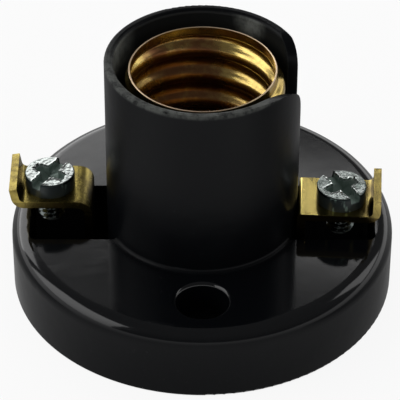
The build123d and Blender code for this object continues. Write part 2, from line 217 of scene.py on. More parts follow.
class LampHolderSizes(bpy.types.PropertyGroup):
    """Sizes of the shell's sheet and of the terminal screws."""

    shell_sheet: bpy.props.FloatProperty(
        name="Shell sheet", description="Thickness of the rolled shell's sheet",
        subtype="DISTANCE", min=0.0001, max=0.001, default=0.3 * MM)
    shell_rim: bpy.props.FloatProperty(
        name="Shell rim", description="Outer radius of the shell's rim",
        subtype="DISTANCE", min=0.004, max=0.008, default=6.58 * MM)
    rim_sheet: bpy.props.FloatProperty(
        name="Rim sheet", description="Thickness that the sheet thins to at the rim",
        subtype="DISTANCE", min=0.00005, max=0.001, default=0.15 * MM)
    lamp_pitch: bpy.props.FloatProperty(
        name="Lamp thread pitch", description="Rise of the shell's thread in a turn",
        subtype="DISTANCE", min=0.001, max=0.005, default=2.822 * MM)
    lamp_arc: bpy.props.FloatProperty(
        name="Lamp thread arc", description="Radius of the shell's crests and roots",
        subtype="DISTANCE", min=0.0003, max=0.002, default=0.822 * MM)
    lamp_radius: bpy.props.FloatProperty(
        name="Lamp thread radius", description="Radius inside the shell's turns",
        subtype="DISTANCE", min=0.005, max=0.009, default=7.0 * MM)
    head_height: bpy.props.FloatProperty(
        name="Head height", description="Height of the terminal screws' heads",
        subtype="DISTANCE", min=0.0005, max=0.005, default=1.5 * MM)
    head_edge: bpy.props.FloatProperty(
        name="Head edge", description="Radius of the rounded edge around a head's top",
        subtype="DISTANCE", min=0.00002, max=0.001, default=0.16 * MM)
    slot_width: bpy.props.FloatProperty(
        name="Slot width", description="Width of the slot across a head",
        subtype="DISTANCE", min=0.0003, max=0.002, default=1.02 * MM)
    slot_depth: bpy.props.FloatProperty(
        name="Slot depth", description="Depth of the slot across a head",
        subtype="DISTANCE", min=0.0001, max=0.0015, default=0.65 * MM)
    wing_reach: bpy.props.FloatProperty(
        name="Wing reach", description="How far the cross recess reaches from the middle of a head",
        subtype="DISTANCE", min=0.0005, max=0.003, default=1.7 * MM)
    wing_width: bpy.props.FloatProperty(
        name="Wing width", description="Width of the cross recess's wings",
        subtype="DISTANCE", min=0.0003, max=0.002, default=1.25 * MM)
    wing_depth: bpy.props.FloatProperty(
        name="Wing depth", description="Depth of the cross recess at the middle of a head",
        subtype="DISTANCE", min=0.0003, max=0.002, default=1.1 * MM)
    burr: bpy.props.FloatProperty(
        name="Burr", description="How high driving has raised the edges of the slot and the recess",
        subtype="DISTANCE", min=0, max=0.0002, default=0.07 * MM)
    thread_pitch: bpy.props.FloatProperty(
        name="Thread pitch", description="Rise of the terminal screws' thread in a turn",
        subtype="DISTANCE", min=0.0002, max=0.002, default=0.5 * MM)
    thread_crest: bpy.props.FloatProperty(
        name="Thread crest", description="Outer radius of the terminal screws' thread",
        subtype="DISTANCE", min=0.0005, max=0.003, default=1.3 * MM)
    thread_depth: bpy.props.FloatProperty(
        name="Thread depth", description="How deep the terminal screws' thread is cut",
        subtype="DISTANCE", min=0.00005, max=0.0005, default=0.26 * MM)


class LampHolderStage(bpy.types.PropertyGroup):
    """Light and floor around the holder."""

    floor_size: bpy.props.FloatProperty(
        name="Floor size", description="Side of the square floor",
        subtype="DISTANCE", min=0.1, max=10, default=3.0)
    floor_colour: bpy.props.FloatVectorProperty(
        name="Floor", description="Colour of the pale floor",
        subtype="COLOR", size=3, min=0, max=1, default=(0.84, 0.84, 0.85))
    shadow_share: bpy.props.FloatProperty(
        name="Floor shadow", description="How much of the floor's own shading the camera sees",
        subtype="FACTOR", min=0, max=1, default=0.10)
    fill_strength: bpy.props.FloatProperty(
        name="Fill", description="Strength of the even light from all around",
        min=0, max=5, default=0.45)
    ceiling_strength: bpy.props.FloatProperty(
        name="Ceiling", description="How bright the studio above the backdrop shows in reflections",
        min=0, max=5, default=0.12)
    backdrop_top: bpy.props.FloatProperty(
        name="Backdrop's top", description="Height of the pale backdrop's upper edge",
        subtype="ANGLE", min=0, max=pi / 2, default=radians(18))


class Value:
    """The output of a shader node, so that sums and products of outputs read as arithmetic."""

    def __init__(self, tree, socket):
        self.tree = tree
        self.socket = socket

    def maths(self, operation, *operands):
        """A maths node of that operation. Each operand is a Value or a number."""
        made = self.tree.nodes.new("ShaderNodeMath")
        made.operation = operation
        for socket, operand in zip(made.inputs, operands):
            feed(socket, operand)
        return Value(self.tree, made.outputs[0])

    def __mul__(self, other):
        return self.maths("MULTIPLY", self, other)

    def __add__(self, other):
        return self.maths("ADD", self, other)

    def __sub__(self, other):
        return self.maths("SUBTRACT", self, other)

    def __rsub__(self, other):
        return self.maths("SUBTRACT", other, self)

    def __abs__(self):
        return self.maths("ABSOLUTE", self)

    def root(self):
        return self.maths("SQRT", self)

    def most(self, other):
        return self.maths("MAXIMUM", self, other)

    def least(self, other):
        return self.maths("MINIMUM", self, other)

    def ramp(self, low, high):
        """A smooth step from 0 at the low value to 1 at the high one. Low may be the greater."""
        made = node(self.tree, "ShaderNodeMapRange", Value=self, From_Min=low, From_Max=high)
        made.interpolation_type = "SMOOTHSTEP"
        return Value(self.tree, made.outputs["Result"])

    def between(self, first, second):
        """The first colour where this value is 0, the second where it is 1."""
        made = self.tree.nodes.new("ShaderNodeMix")
        made.data_type = "RGBA"
        for index, operand in ((0, self), (6, first), (7, second)):
            feed(made.inputs[index], operand)
        return Value(self.tree, made.outputs[2])


def feed(socket, operand):
    """Link an input socket to a Value, or set it to a number, a colour or a vector."""
    if isinstance(operand, Value):
        operand.tree.links.new(operand.socket, socket)
    elif socket.type == "RGBA":
        socket.default_value = (*operand, 1)
    else:
        socket.default_value = operand


def node(tree, kind, **inputs):
    """A shader node. Its inputs go by the names of its sockets, with _ for a space."""
    made = tree.nodes.new(kind)
    for name, operand in inputs.items():
        feed(made.inputs[name.replace("_", " ")], operand)
    return made


def outputs(tree, made):
    """The outputs of a node as Values, by name."""
    return {socket.name: Value(tree, socket) for socket in made.outputs}


def vector_maths(tree, operation, output, *operands, **inputs):
    """One output of a vector maths node."""
    made = tree.nodes.new("ShaderNodeVectorMath")
    made.operation = operation
    for socket, operand in zip(made.inputs, operands):
        feed(socket, operand)
    for name, operand in inputs.items():
        feed(made.inputs[name], operand)
    return outputs(tree, made)[output]


def arrange(tree):
    """Set the nodes out in columns, each to the left of what it feeds."""
    columns = {made.name: 0 for made in tree.nodes}
    for _ in tree.nodes:
        for link in tree.links:
            columns[link.from_node.name] = max(columns[link.from_node.name],
                                               columns[link.to_node.name] + 1)
    rows = {}
    for made in tree.nodes:
        column = columns[made.name]
        rows[column] = rows.get(column, 0) + 1
        made.location = (-220 * column, -280 * rows[column])


def place(tree, stretch=(1, 1, 1)):
    """Where a point lies on the piece itself, in metres, stretched along the three axes."""
    coordinates = outputs(tree, node(tree, "ShaderNodeTexCoord"))
    mapping = node(tree, "ShaderNodeMapping", Vector=coordinates["Object"], Scale=stretch)
    return Value(tree, mapping.outputs["Vector"])


def parts(vector):
    """The parts X, Y and Z of a vector."""
    return outputs(vector.tree, node(vector.tree, "ShaderNodeSeparateXYZ", Vector=vector))


def noise(vector, scale, detail=4.0, roughness=0.55):
    """Smooth noise. Its scale is in turns a metre."""
    made = node(vector.tree, "ShaderNodeTexNoise", Vector=vector, Scale=scale, Detail=detail,
                Roughness=roughness)
    return outputs(vector.tree, made)["Fac"]


def from_axis(tree, centre=(0, 0)):
    """A point's distance from an upright axis."""
    point = parts(place(tree))
    across, along = point["X"] - centre[0], point["Y"] - centre[1]
    return (across * across + along * along).root()


def near_point(tree, point, reach):
    """A mask that is 1 at a point and falls softly to 0 at its reach. Both are in millimetres."""
    away = vector_maths(tree, "DISTANCE", "Value", place(tree), Vector(point) * MM)
    return away.ramp(reach * MM, 0.0)


def new_group(name, inputs, results):
    """A node group. Gives its tree, its inputs as Values, and the sockets of its results."""
    tree = bpy.data.node_groups.new(name, "ShaderNodeTree")
    for label, kind, default in inputs:
        socket = tree.interface.new_socket(name=label, in_out="INPUT", socket_type=kind)
        socket.default_value = default
    for label, kind in results:
        tree.interface.new_socket(name=label, in_out="OUTPUT", socket_type=kind)
    return (tree, outputs(tree, tree.nodes.new("NodeGroupInput")),
            tree.nodes.new("NodeGroupOutput").inputs)


def group(tree, make, **inputs):
    """The outputs of a node group that a function makes once, placed with its own values."""
    name = make.__name__.replace("_", " ")
    made = tree.nodes.new("ShaderNodeGroup")
    made.node_tree = bpy.data.node_groups.get(name) or make()
    for label, operand in inputs.items():
        feed(made.inputs[label], operand)
    return outputs(tree, made)


def handling_marks():
    """Group: fine scratches and finger smudges, as a roughness to add and a height."""
    tree, given, result = new_group(
        "handling marks",
        [("Size", "NodeSocketFloat", 1.0), ("Scratches", "NodeSocketFloat", 0.5),
         ("Smudges", "NodeSocketFloat", 0.5)],
        [("Roughness", "NodeSocketFloat"), ("Height", "NodeSocketFloat")])
    scaled = vector_maths(tree, "SCALE", "Vector", place(tree), Scale=given["Size"])
    bent = vector_maths(tree, "ADD", "Vector", scaled, noise(scaled, 90, 2) * 0.012)
    cells = node(tree, "ShaderNodeTexVoronoi", Vector=bent, Scale=260.0)
    cells.feature = "DISTANCE_TO_EDGE"
    lines = outputs(tree, cells)["Distance"].ramp(0.018, 0.0)
    broken = noise(scaled, 420, 3).ramp(0.52, 0.62)
    scratches = lines * broken * given["Scratches"]
    smudges = noise(scaled, 170, 5).ramp(0.44, 0.68) * given["Smudges"]
    feed(result["Roughness"], (smudges * 0.5 + scratches).least(1.0))
    feed(result["Height"], scratches * -1.0)
    arrange(tree)
    return tree


def patina():
    """Group: the film that old metal has in patches and streaks, as a colour and a mask."""
    tree, given, result = new_group(
        "patina",
        [("Clean", "NodeSocketColor", (0.7, 0.5, 0.2, 1)),
         ("Film", "NodeSocketColor", (0.2, 0.15, 0.1, 1)),
         ("Amount", "NodeSocketFloat", 0.5), ("Size", "NodeSocketFloat", 1.0)],
        [("Colour", "NodeSocketColor"), ("Mask", "NodeSocketFloat")])
    scaled = vector_maths(tree, "SCALE", "Vector", place(tree), Scale=given["Size"])
    patches = noise(scaled, 260, 5, 0.6) * 0.7 + noise(scaled, 1500, 4, 0.65) * 0.3
    mask = (patches + given["Amount"] - 0.62).ramp(0.0, 0.42)
    feed(result["Mask"], mask)
    feed(result["Colour"], mask.between(given["Clean"], given["Film"]))
    arrange(tree)
    return tree


def new_material(name):
    """A material with a Principled shader. Gives the material, its tree and the shader's inputs."""
    material = bpy.data.materials.new(name)
    material.use_nodes = True
    return material, material.node_tree, material.node_tree.nodes["Principled BSDF"].inputs


def bump(shader, height, distance, strength):
    """Feed a height to the shader as a bump of that depth."""
    made = node(height.tree, "ShaderNodeBump", Height=height, Distance=distance, Strength=strength)
    feed(shader["Normal"], outputs(height.tree, made)["Normal"])


def dress(obj, material):
    """Give the object that one material, and set the material's nodes out."""
    obj.data.materials.clear()
    obj.data.materials.append(material)
    arrange(material.node_tree)


def phenolic(finish):
    """Glossy black phenolic, glazed on the base's top, scuffed in the bore, with painted highlights
    on the rim's front and in the bore.
    """
    material, tree, shader = new_material("black phenolic")
    feed(shader["IOR"], 1.55)
    feed(shader["Specular IOR Level"], finish.moulding_gloss)
    marks = group(tree, handling_marks, Size=1.0, Scratches=0.35, Smudges=0.5)
    point, distance = parts(place(tree)), from_axis(tree)
    height = point["Z"]

    # Painted highlights on the front of the rim and as two smears in the bore, and a faint scuffed
    # haze all over the bore
    in_bore = distance.ramp(TUBE_BORE + 0.12 * MM, TUBE_BORE + 0.02 * MM)
    upper = height.ramp(TUBE_RIM - 9 * MM, TUBE_RIM - 2 * MM)
    rim = height.ramp(TUBE_RIM - 0.45 * MM, TUBE_RIM - 0.05 * MM)
    rubbed = noise(place(tree, (1, 1, 0.6)), 1300, 5, 0.7).ramp(0.30, 0.62)
    first, second = (near_point(tree, *bore_highlight) for bore_highlight in BORE_HIGHLIGHTS)
    painted_bore_light = (first + second) * (rubbed * 0.6 + 0.4) * in_bore * upper
    rim_highlight = rim * point["Y"].ramp(*RIM_HIGHLIGHT_SPAN) * 0.5 * rubbed
    scuff_and_highlight = rim_highlight.most(in_bore * 0.05).most(painted_bore_light)

    dust = noise(place(tree), 2600, 3).ramp(0.66, 0.76) * 0.25
    dusty = dust.between(finish.moulding_colour, DUST)
    feed(shader["Base Color"], scuff_and_highlight.between(dusty, finish.scuff_colour))

    tube = distance.ramp(*reversed(TUBE_FOOT))
    feed(shader["Roughness"], marks["Roughness"] * 0.16 + tube * finish.tube_dullness
         + scuff_and_highlight * 0.3 + finish.moulding_roughness)

    above = height.ramp(BASE_TOP, BASE_TOP + 0.5 * MM)
    glazed = height.ramp(*BASE_EDGE) * distance.ramp(*TUBE_FOOT)
    feed(shader["Coat Weight"], glazed * (0.88 - above).most(0.0))
    feed(shader["Coat Roughness"], 0.09)
    feed(shader["Coat IOR"], 1.5)
    waves = noise(place(tree), 240, 3)
    bump(shader, waves + marks["Height"] * 0.03, distance=0.07 * MM, strength=0.7)
    return material


def shell_brass(finish):
    """Rolled brass with lines around it, clean at both sides; tarnish and painted shade darken it
    between them, below and deep down, and a painted highlight lines the rim.
    """
    material, tree, shader = new_material("rolled shell brass")
    feed(shader["Metallic"], 1.0)
    point = parts(place(tree))
    across, height = point["X"], point["Z"]
    # Painted shade with the tarnish: it lies heavier between the clean sides and on the lower turns
    # at the left.
    aged = across.ramp(*CLEAN_RIGHT) * across.ramp(*CLEAN_LEFT).most(height.ramp(*CLEAN_ABOVE))
    film = group(tree, patina, Clean=finish.shell_colour, Film=finish.shell_tarnish,
                 Amount=aged * 0.20 + 0.22, Size=1.0)
    # Painted shade: the brass darkens towards the bottom, deep in the shell.
    depth = height.ramp(SHELL_HIGH.z - 1.5 * MM, SHELL_LOW.z + 2 * MM)
    dark = (depth * (aged * 0.55 + 0.3)).between(film["Colour"], finish.shell_tarnish)
    # Painted highlight: a thin, pale and rougher line along the rim's top edge.
    bare = height.ramp(SHELL_HIGH.z - 0.06 * MM, SHELL_HIGH.z - 0.02 * MM)
    feed(shader["Base Color"], bare.between(dark, finish.shell_rim_brass))
    feed(shader["Roughness"], film["Mask"] * 0.14 + bare * 0.3 + 0.17)
    rolled = noise(place(tree, (1, 1, 22)), 330, 3, 0.6)
    bump(shader, rolled, distance=0.025 * MM, strength=0.7)
    return material


def strip_brass(name, clean, film, amount, roughness, cut_edge_shade=0.0, low_shade=0.0, shade_spots=()):
    """Brass strip, stamped and bent, with patches of patina. Painted shade darkens its cut edges,
    its low parts and the given shade spots.
    """
    material, tree, shader = new_material(name)
    feed(shader["Metallic"], 1.0)
    layer = group(tree, patina, Clean=clean, Film=film, Amount=amount, Size=1.4)
    marks = group(tree, handling_marks, Size=2.0, Scratches=0.6, Smudges=0.4)
    height = parts(place(tree))["Z"]
    facing = parts(outputs(tree, node(tree, "ShaderNodeTexCoord"))["Normal"])
    # Painted shade: the cut edges facing front and back darken, all but a thin line at the flat's
    # top, and so do the given spots.
    flat_edge = height.ramp(STRIP_TOP - 0.02 * MM, STRIP_TOP - 0.14 * MM)
    edge_shade = abs(facing["Y"]).ramp(0.5, 0.8) * flat_edge * cut_edge_shade
    for shade_spot in shade_spots:
        edge_shade = edge_shade.most(near_point(tree, *shade_spot) * 0.9)
    # Painted shade: the legs darken towards the bottom, down in the openings.
    low = height.ramp(*STRIP_SHADE_LEVELS) * low_shade
    feed(shader["Base Color"], low.between(edge_shade.between(layer["Colour"], film), LEG_SHADE))
    feed(shader["Roughness"],
         layer["Mask"].most(low) * 0.2 + marks["Roughness"] * 0.15 + roughness)
    grain = noise(place(tree, (1, 5, 1)), 1800, 3, 0.6)
    bump(shader, grain + marks["Height"] * 0.6, distance=0.012 * MM, strength=0.7)
    return material


def zinc_plating(name, finish, sizes, centre, top, radius, worn):
    """Zinc, bright on the head's top and the burrs; a dark film and painted shade on the side,
    painted shade in the recess and on the shank.
    """
    material, tree, shader = new_material(name)
    seat, plane = top - sizes.head_height, top - sizes.burr
    height = parts(place(tree))["Z"]
    side = from_axis(tree, centre).ramp(radius - 0.16 * MM, radius - 0.02 * MM)
    head = height.ramp(seat - 0.05 * MM, seat + 0.05 * MM)
    # Painted shade: the recess darkens and turns partly non-metallic below the head's top.
    recess_shade = height.ramp(top - 0.12 * MM, top - 0.40 * MM) * head
    shade = side.most(recess_shade) * 0.94
    layer = group(tree, patina, Clean=finish.zinc, Film=finish.zinc_shade, Amount=worn, Size=3.2)
    scraped = noise(place(tree, (1, 1, 0.35)), 1500, 3).ramp(0.60, 0.68)
    shaded = shade.between(layer["Colour"], finish.zinc_shade)
    # The head's side: a dark film and painted shade, but for scraped streaks.
    sided = (side * (1.0 - scraped)).between(shaded, finish.zinc_side)
    # Painted shade on the shank below the head.
    shank_shaded = ((1.0 - head) * 0.85).between(sided, finish.zinc_side)
    burred = height.ramp(plane + 0.012 * MM, plane + 0.03 * MM)
    feed(shader["Base Color"], burred.between(shank_shaded, finish.zinc_burr))
    feed(shader["Metallic"], 1.0 - recess_shade * 0.75)
    marks = group(tree, handling_marks, Size=3.0, Scratches=0.9, Smudges=0.5)
    feed(shader["Roughness"], shade * 0.18 + marks["Roughness"] * 0.2 + 0.14)
    pits = noise(place(tree), 2400, 3, 0.6)
    bump(shader, pits + marks["Height"] * 0.8, distance=0.009 * MM, strength=0.6)
    return material


def rays(tree):
    """1 for a ray from the camera, and 1 for one from a reflection or a refraction, else 0."""
    path = outputs(tree, node(tree, "ShaderNodeLightPath"))
    return path["Is Camera Ray"], path["Is Glossy Ray"].most(path["Is Transmission Ray"])


def floor_material(stage):
    """A pale floor that shows white, and keeps the holder's soft shadow.

    The holder mirrors it with painted shade: dimmer close by, beside and behind. Under the base it
    stays dark.
    """
    material, tree, shader = new_material("pale floor")
    grain = noise(place(tree), 60, 3) * 0.06
    feed(shader["Base Color"], grain.between(stage.floor_colour, FLOOR_GRAIN))
    feed(shader["Roughness"], 0.9)
    feed(shader["Specular IOR Level"], 0.1)
    point, distance = parts(place(tree)), from_axis(tree)
    camera, mirror = rays(tree)
    unseen = 1.0 - camera
    # Painted shade in the floor's mirror image: dimmer behind and beside the holder, and close
    # around it.
    beside = abs(point["X"]) * 0.5 + point["X"] * 0.2
    behind = (point["Y"] + beside).ramp(-HOLDER_RADIUS, HOLDER_RADIUS)
    close = distance.ramp(HOLDER_RADIUS + FLOOR_SHADE_REACH, HOLDER_RADIUS)
    strength = (1.0 - behind * unseen * 0.7) * (1.0 - close * unseen * 0.4)
    white = node(tree, "ShaderNodeEmission", Color=(1, 1, 1), Strength=strength)
    clear = distance.ramp(*(share * HOLDER_RADIUS for share in FLOOR_HIDDEN))
    blend = node(tree, "ShaderNodeMixShader")
    feed(blend.inputs[0], camera.most(mirror) * clear * (1 - stage.shadow_share))
    tree.links.new(tree.nodes["Principled BSDF"].outputs[0], blend.inputs[1])
    tree.links.new(white.outputs[0], blend.inputs[2])
    tree.links.new(blend.outputs[0], tree.nodes["Material Output"].inputs["Surface"])
    return material


def step(value, low, high):
    """0 up to the low value, 1 from the high one, smooth between. Low may be the greater."""
    share = min(max((value - low) / (high - low), 0.0), 1.0)
    return share * share * (3 - 2 * share)


def bridge(shape, first, second):
    """Join two closed rings of points with faces."""
    for index in range(len(first)):
        after = (index + 1) % len(first)
        shape.faces.new((first[index], second[index], second[after], first[after]))


def finished_mesh(shape, name):
    """The mesh of a finished shape, its faces turned outwards."""
    bmesh.ops.recalc_face_normals(shape, faces=shape.faces)
    mesh = bpy.data.meshes.new(name)
    shape.to_mesh(mesh)
    shape.free()
    return mesh


def new_piece(context, mesh, material, sharp_angle):
    """A mesh's object in one material, smooth but for edges sharper than an angle in degrees."""
    mesh.shade_smooth()
    mesh.set_sharp_from_angle(angle=radians(sharp_angle))
    piece = bpy.data.objects.new(mesh.name, mesh)
    context.scene.collection.objects.link(piece)
    dress(piece, material)
    return piece


def turn_profile(sizes, offset, from_crest):
    """How far the sheet's face stands off the axis, at a height from the crest of one turn.

    Equal arcs make the profile. Offset is 0 on the inside of the sheet and its thickness outside.
    """
    slope = asin(sizes.lamp_pitch / (4 * sizes.lamp_arc))
    depth = 2 * sizes.lamp_arc * (1 - cos(slope))
    crest_arc, root_arc = sizes.lamp_arc + offset, sizes.lamp_arc - offset
    if abs(from_crest) <= crest_arc * sin(slope):
        return sizes.lamp_radius - sizes.lamp_arc + sqrt(crest_arc ** 2 - from_crest ** 2)
    from_root = sizes.lamp_pitch / 2 - abs(from_crest)
    return sizes.lamp_radius - depth + sizes.lamp_arc - sqrt(root_arc ** 2 - from_root ** 2)


def shell_radius(sizes, offset, turn, level):
    """The radius of one face of the shell's sheet at a turn in radians and a level."""
    pitch = sizes.lamp_pitch
    first_crest = CREST_AT_RIGHT + pitch * turn / (2 * pi)
    crest = first_crest + pitch * round((level - first_crest) / pitch)
    plain = turn_profile(sizes, offset, pitch / 2)
    shown = step(crest, *TURNS_START) * step(crest, *reversed(TURNS_END))
    wall = plain + (turn_profile(sizes, offset, level - crest) - plain) * shown
    rim = sizes.shell_rim if offset else sizes.shell_rim - sizes.rim_sheet
    return wall + (rim - wall) * step(level, *RIM_BLEND)


def shell_mesh(name, sizes):
    """The rolled shell as one closed wall of sheet, and its tab."""
    shape = bmesh.new()
    levels = [SHELL_FOOT + (SHELL_HIGH.z - SHELL_FOOT) * index / SHELL_RISE_STEPS
              for index in range(SHELL_RISE_STEPS)]
    levels.append(SHELL_HIGH.z - 0.3 * sizes.rim_sheet)
    edge = (sizes.shell_rim - sizes.rim_sheet / 2, SHELL_HIGH.z)
    columns = []
    for index in range(SHELL_TURN_STEPS):
        turn = 2 * pi * index / SHELL_TURN_STEPS
        outside, inside = ([(shell_radius(sizes, offset, turn, level), level) for level in levels]
                           for offset in (sizes.shell_sheet, 0.0))
        columns.append([shape.verts.new((wide * cos(turn), wide * sin(turn), level))
                        for wide, level in (*outside, edge, *reversed(inside))])
    for index, column in enumerate(columns):
        bridge(shape, column, columns[(index + 1) % SHELL_TURN_STEPS])
    add_tab_leg(shape, sizes)
    add_tab_sole(shape, sizes)
    return finished_mesh(shape, name)


def add_tab_leg(shape, sizes):
    """The tab's leg, which goes down from the shell's foot and keeps its curve."""
    wall = turn_profile(sizes, 0.0, sizes.lamp_pitch / 2)
    outer = wall + sizes.shell_sheet
    corners = ((wall, SHELL_LOW.z), (outer, SHELL_LOW.z), (outer, SHELL_FOOT), (wall, SHELL_FOOT))
    rows = []
    for index in range(TAB_LEG_STEPS + 1):
        turn = asin(TAB_HALF_WIDTH / wall) * (2 * index / TAB_LEG_STEPS - 1)
        rows.append([shape.verts.new((wide * cos(turn), wide * sin(turn), level))
                     for wide, level in corners])
    for first, second in zip(rows, rows[1:]):
        bridge(shape, first, second)
    shape.faces.new(rows[0])
    shape.faces.new(reversed(rows[-1]))


def add_tab_sole(shape, sizes):
    """The tab's sole on the floor, with the rivet's hole."""
    wall = turn_profile(sizes, 0.0, sizes.lamp_pitch / 2)
    low, high = SHELL_LOW.z, SHELL_LOW.z + sizes.shell_sheet
    rings = []
    for index in range(TAB_HOLE_STEPS):
        angle = 2 * pi * index / TAB_HOLE_STEPS
        turn = Vector((cos(angle), sin(angle)))
        end = (wall if turn.x > 0 else TAB_END,
               TAB_HALF_WIDTH if turn.y > 0 else -TAB_HALF_WIDTH)
        reaches = [(end[axis] - TAB_HOLE[axis]) / turn[axis]
                   for axis in (0, 1) if abs(turn[axis]) > LEVEL_TURN]
        outer = TAB_HOLE + turn * min(reaches)
        inner = TAB_HOLE + turn * TAB_HOLE_RADIUS
        corners = ((inner, low), (outer, low), (outer, high), (inner, high))
        rings.append([shape.verts.new((point.x, point.y, level)) for point, level in corners])
    for index, ring in enumerate(rings):
        bridge(shape, ring, rings[(index + 1) % TAB_HOLE_STEPS])


def ragged(first, second, seed, size):
    """Smooth noise between about -1 and 1, for edges that driving has torn. Size is in metres."""
    return smooth_noise.noise(Vector((first / size, second / size, seed)))


def head_depth(sizes, across, along, seed):
    """How far a point of the head's top lies below its plane, and how much burr stands on it.

    The slot runs along the second direction. Two of the recess's wings lie in it and two cross it.
    """
    slot_edge = sizes.slot_width / 2 + TEAR * ragged(along, 0, seed, 0.45 * MM)
    depth = sizes.slot_depth * step(abs(across), slot_edge + 0.03 * MM, slot_edge - 0.05 * MM)
    burr = step(abs(across), slot_edge + 0.22 * MM, slot_edge + 0.06 * MM)
    burr *= abs(across) > slot_edge
    for first, second in ((across, along), (along, across)):
        wing_reach = sizes.wing_reach + 2 * TEAR * ragged(second, first, seed + 7, 0.5 * MM)
        inner = min(abs(first) / wing_reach, 1.0)
        wing_edge = (sizes.wing_width / 2 * (1 - 0.25 * inner)
                     + TEAR * ragged(first, 3, seed + 3, 0.4 * MM))
        opened = step(abs(second), wing_edge + 0.03 * MM, wing_edge - 0.06 * MM)
        depth = max(depth, sizes.wing_depth * min(1.0, 1.5 * (1 - inner)) * opened)
        raised = step(abs(second), wing_edge + 0.20 * MM, wing_edge + 0.05 * MM)
        burr = max(burr, raised * step(inner, 1.0, 0.9) * (abs(second) > wing_edge))
    height = sizes.burr * burr * (0.5 + 0.9 * ragged(across, along, seed + 11, 0.35 * MM))
    return depth, (max(height, 0.0) if depth < 0.02 * MM else 0.0)


def head_columns(sizes, radius):
    """Places across the head, closer together at the edges of the slot and the wings."""
    columns = {round(radius * sin(pi * (index / HEAD_STEPS - 0.5)), 9)
               for index in range(HEAD_STEPS + 1)}
    for edge in (sizes.slot_width / 2, sizes.wing_width / 2):
        for offset in (-0.06, -0.02, 0.02, 0.06):
            for side in (-1, 1):
                columns.add(round(side * (edge + offset * MM), 9))
    return sorted(columns)


def head_line(shape, sizes, across, radius, seed):
    """One line of points along the head's top. At the head's two ends it is a single point."""
    top = sizes.head_height - sizes.burr
    half = sqrt(max(radius ** 2 - across ** 2, 0.0))
    places = ([0.0] if half < LINE_LEAST else
              [-half * cos(pi * index / HEAD_STEPS) for index in range(HEAD_STEPS + 1)])
    line = []
    for along in places:
        from_middle = hypot(across, along)
        depth, burr = head_depth(sizes, across, along, seed)
        inset = max(from_middle - (radius - sizes.head_edge), 0.0)
        rounding = sizes.head_edge - sqrt(max(sizes.head_edge ** 2 - inset ** 2, 0.0))
        standing = burr * step(from_middle, radius, radius - 0.2 * MM)
        grain = GRAIN * ragged(across, along, seed + 20, 0.3 * MM) * (depth < 0.01 * MM)
        level = top - max(depth, rounding) + standing + grain
        line.append(shape.verts.new((across, along, level)))
    return line


def screw_mesh(name, sizes, radius, length, seed):
    """A driven cheese-head screw as one closed mesh, its seat at z 0 and its slot along y."""
    shape = bmesh.new()
    lines = [head_line(shape, sizes, across, radius, seed)
             for across in head_columns(sizes, radius)]
    for left, right in zip(lines, lines[1:]):
        if len(left) == 1 or len(right) == 1:
            point, row = (left[0], right) if len(left) == 1 else (right[0], left)
            for first, second in zip(row, row[1:]):
                shape.faces.new((point, first, second))
            continue
        for index in range(HEAD_STEPS):
            shape.faces.new((left[index], right[index], right[index + 1], left[index + 1]))
    ring = [line[0] for line in lines] + [line[-1] for line in reversed(lines[1:-1])]
    top = sizes.head_height - sizes.burr
    for share in (0.75, 0.5, 0.25, 0.0):
        ring = next_ring(shape, ring, lambda vert, turn: (
            turn * radius, min(vert.co.z, share * top)))
    ring = next_ring(shape, ring, lambda vert, turn: (turn * (radius - SEAT_CHAMFER), 0.0))
    ring = next_ring(shape, ring, lambda vert, turn: (turn * sizes.thread_crest, 0.0))
    rows = int(length / sizes.thread_pitch * THREAD_ROWS)
    for row in range(1, rows + 1):
        down = length * row / rows
        ring = next_ring(shape, ring, lambda vert, turn: (
            turn * thread_radius(sizes, turn, down, length), -down))
    shape.faces.new(ring)
    return finished_mesh(shape, name)


def next_ring(shape, ring, put):
    """A ring of points joined to the last one. put gives a point's offset and its level."""
    made = []
    for vert in ring:
        offset, level = put(vert, Vector((vert.co.x, vert.co.y)).normalized())
        made.append(shape.verts.new((offset.x, offset.y, level)))
    bridge(shape, ring, made)
    return made


def thread_radius(sizes, turn, down, length):
    """The screw's radius at a direction and a depth: a right-hand thread with a tapered end."""
    angle = Vector((1, 0)).angle_signed(turn, 0.0) / (2 * pi)
    phase = (down / sizes.thread_pitch - angle) % 1.0
    groove = min(abs(2 * phase - 1) * 1.25, 1.0)
    cut = sizes.thread_depth * groove * step(down, *THREAD_START)
    taper = THREAD_TAPER * step(down, length - THREAD_END, length)
    return sizes.thread_crest - max(cut, taper)


class LAMPHOLDER_OT_moulding(bpy.types.Operator):
    """Dress the moulded body in glossy black phenolic"""

    bl_idname = "lampholder.moulding"
    bl_label = "Moulding"

    def execute(self, context):
        dress(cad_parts["moulded_body"], phenolic(context.scene.lampholder_finish))
        return {"FINISHED"}


class LAMPHOLDER_OT_shell(bpy.types.Operator):
    """Make the rolled brass shell, with the run-outs of its turns, in place of the plain solid"""

    bl_idname = "lampholder.shell"
    bl_label = "Screw shell"

    def execute(self, context):
        mesh = shell_mesh("rolled_screw_shell", context.scene.lampholder_sizes)
        brass = shell_brass(context.scene.lampholder_finish)
        shell = new_piece(context, mesh, brass, sharp_angle=40)
        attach(shell, "holder")
        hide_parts("screw_shell")
        return {"FINISHED"}


class LAMPHOLDER_OT_contact(bpy.types.Operator):
    """Dress the centre contact and the two rivets"""

    bl_idname = "lampholder.contact"
    bl_label = "Contact and rivets"

    def execute(self, context):
        finish = context.scene.lampholder_finish
        spring = strip_brass("spring brass", finish.contact_brass, finish.shell_tarnish, 0.22, 0.28)
        riveted = strip_brass("rivet brass", finish.contact_brass, finish.old_brass, 0.26, 0.32)
        dress(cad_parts["centre_contact"], spring)
        for name in ("rivet_contact", "rivet_shell"):
            dress(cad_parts[name], riveted)
        return {"FINISHED"}


